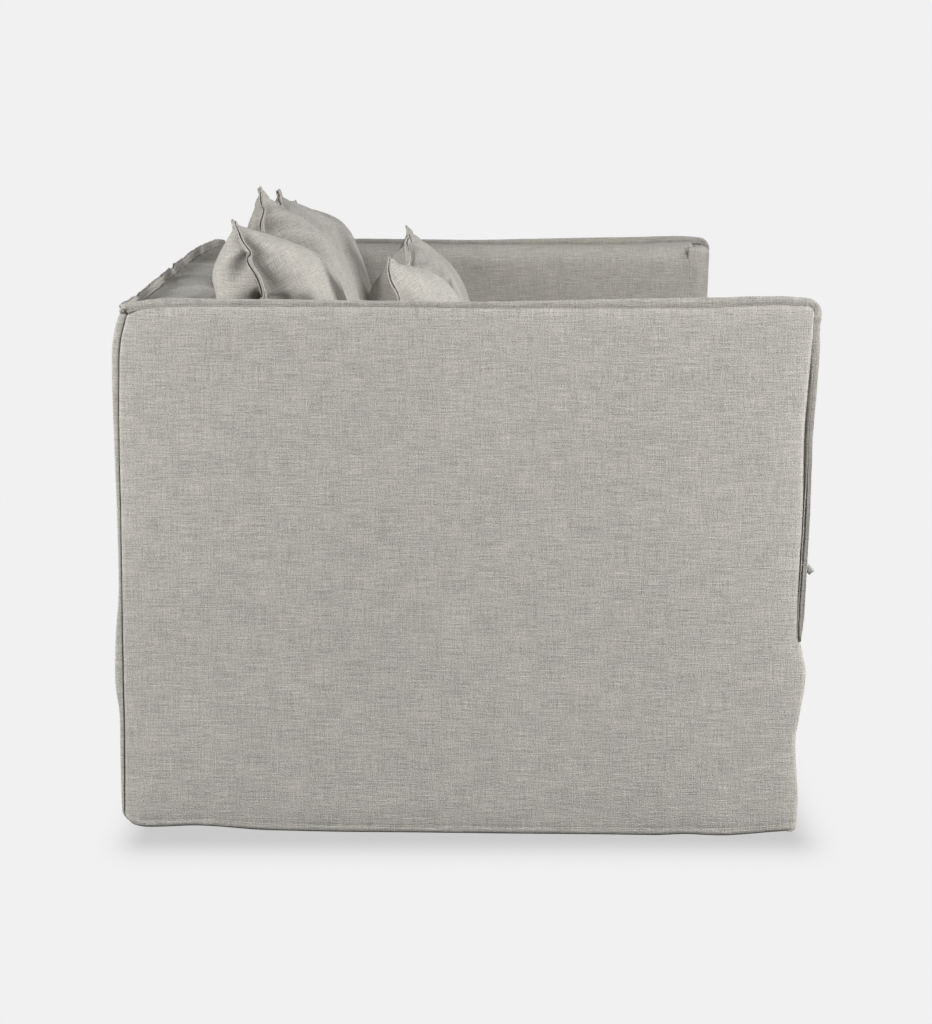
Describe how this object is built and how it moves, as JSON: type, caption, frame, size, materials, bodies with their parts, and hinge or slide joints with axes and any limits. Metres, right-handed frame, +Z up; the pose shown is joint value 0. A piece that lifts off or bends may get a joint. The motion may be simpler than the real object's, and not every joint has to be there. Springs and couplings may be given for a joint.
{
  "type": "slipcovered sofa",
  "caption": "Slipcovered three-seat sofa with level arms and back, seam flanges, a skirt to the floor, boxed seat cushions, large back cushions and small scatter cushions.",
  "frame": {"origin": "on the floor under the middle of the sofa", "axes": "+X along the sofa towards the sitter's left, +Y towards the back, +Z up"},
  "size_m": [2.2, 0.982, 0.8849],
  "materials": {
    "linen": "warm grey slubbed linen, matte, plain weave",
    "lining_linen": "the same linen under the seat cushions, matte",
    "timber": "sawn and sanded hardwood, unfinished",
    "leg_wood": "dark stained hardwood, satin",
    "webbing": "black elastic upholstery webbing",
    "foam": "pale foam with wadding, matte",
    "black_cloth": "thin black dust cloth, matte"
  },
  "bodies": {
    "frame": {"front_seat_rail": "timber", "rear_seat_rail": "timber", "back_top_rail": "timber", "right_side_rail": "timber", "right_front_post": "timber", "right_rear_post": "timber", "right_arm_top_rail": "timber", "right_stringer": "timber", "right_back_upright": "timber", "corner_block_front_right": "timber", "corner_block_rear_right": "timber", "left_side_rail": "timber", "left_front_post": "timber", "left_rear_post": "timber", "left_arm_top_rail": "timber", "left_stringer": "timber", "left_back_upright": "timber", "corner_block_front_left": "timber", "corner_block_rear_left": "timber", "front_right_leg": "leg_wood", "front_middle_leg": "leg_wood", "front_left_leg": "leg_wood", "rear_right_leg": "leg_wood", "rear_middle_leg": "leg_wood", "rear_left_leg": "leg_wood", "webbing_strap_1": "webbing", "webbing_strap_2": "webbing", "webbing_strap_3": "webbing", "webbing_strap_4": "webbing", "webbing_strap_5": "webbing", "webbing_strap_6": "webbing", "deck_pad": "foam", "back_pad": "foam", "right_arm_pad": "foam", "left_arm_pad": "foam", "deck_cover": "lining_linen", "dust_cover": "black_cloth", "right_outside_arm_cover": "linen", "right_inside_arm_cover": "linen", "right_arm_front_cover": "linen", "right_arm_flange": "linen", "right_cover_tie": "linen", "left_outside_arm_cover": "linen", "left_inside_arm_cover": "linen", "left_arm_front_cover": "linen", "left_arm_flange": "linen", "left_cover_tie": "linen", "inside_back_cover": "linen", "outside_back_cover": "linen", "front_skirt_cover": "linen", "back_flange": "linen"},
    "seat_right": {"seat_cushion_right": "linen"},
    "back_right": {"back_cushion_right": "linen"},
    "seat_middle": {"seat_cushion_middle": "linen"},
    "back_middle": {"back_cushion_middle": "linen"},
    "seat_left": {"seat_cushion_left": "linen"},
    "back_left": {"back_cushion_left": "linen"},
    "scatter_right": {"scatter_cushion_right": "linen"},
    "scatter_left": {"scatter_cushion_left": "linen"}
  },
  "joints": [
    {"name": "seat_cushion_right_lift", "type": "slide", "parent": "frame", "child": "seat_right", "axis": [0, 0, 1], "range_m": [0, 0.5]},
    {"name": "back_cushion_right_lift", "type": "slide", "parent": "seat_right", "child": "back_right", "axis": [0, 0, 1], "range_m": [0, 0.35]},
    {"name": "seat_cushion_middle_lift", "type": "slide", "parent": "frame", "child": "seat_middle", "axis": [0, 0, 1], "range_m": [0, 0.5]},
    {"name": "back_cushion_middle_lift", "type": "slide", "parent": "seat_middle", "child": "back_middle", "axis": [0, 0, 1], "range_m": [0, 0.35]},
    {"name": "seat_cushion_left_lift", "type": "slide", "parent": "frame", "child": "seat_left", "axis": [0, 0, 1], "range_m": [0, 0.5]},
    {"name": "back_cushion_left_lift", "type": "slide", "parent": "seat_left", "child": "back_left", "axis": [0, 0, 1], "range_m": [0, 0.35]},
    {"name": "scatter_cushion_right_lift", "type": "slide", "parent": "back_right", "child": "scatter_right", "axis": [0, -0.8, 0.6], "range_m": [0, 0.4]},
    {"name": "scatter_cushion_left_lift", "type": "slide", "parent": "back_left", "child": "scatter_left", "axis": [0, -0.8, 0.6], "range_m": [0, 0.4]}
  ]
}
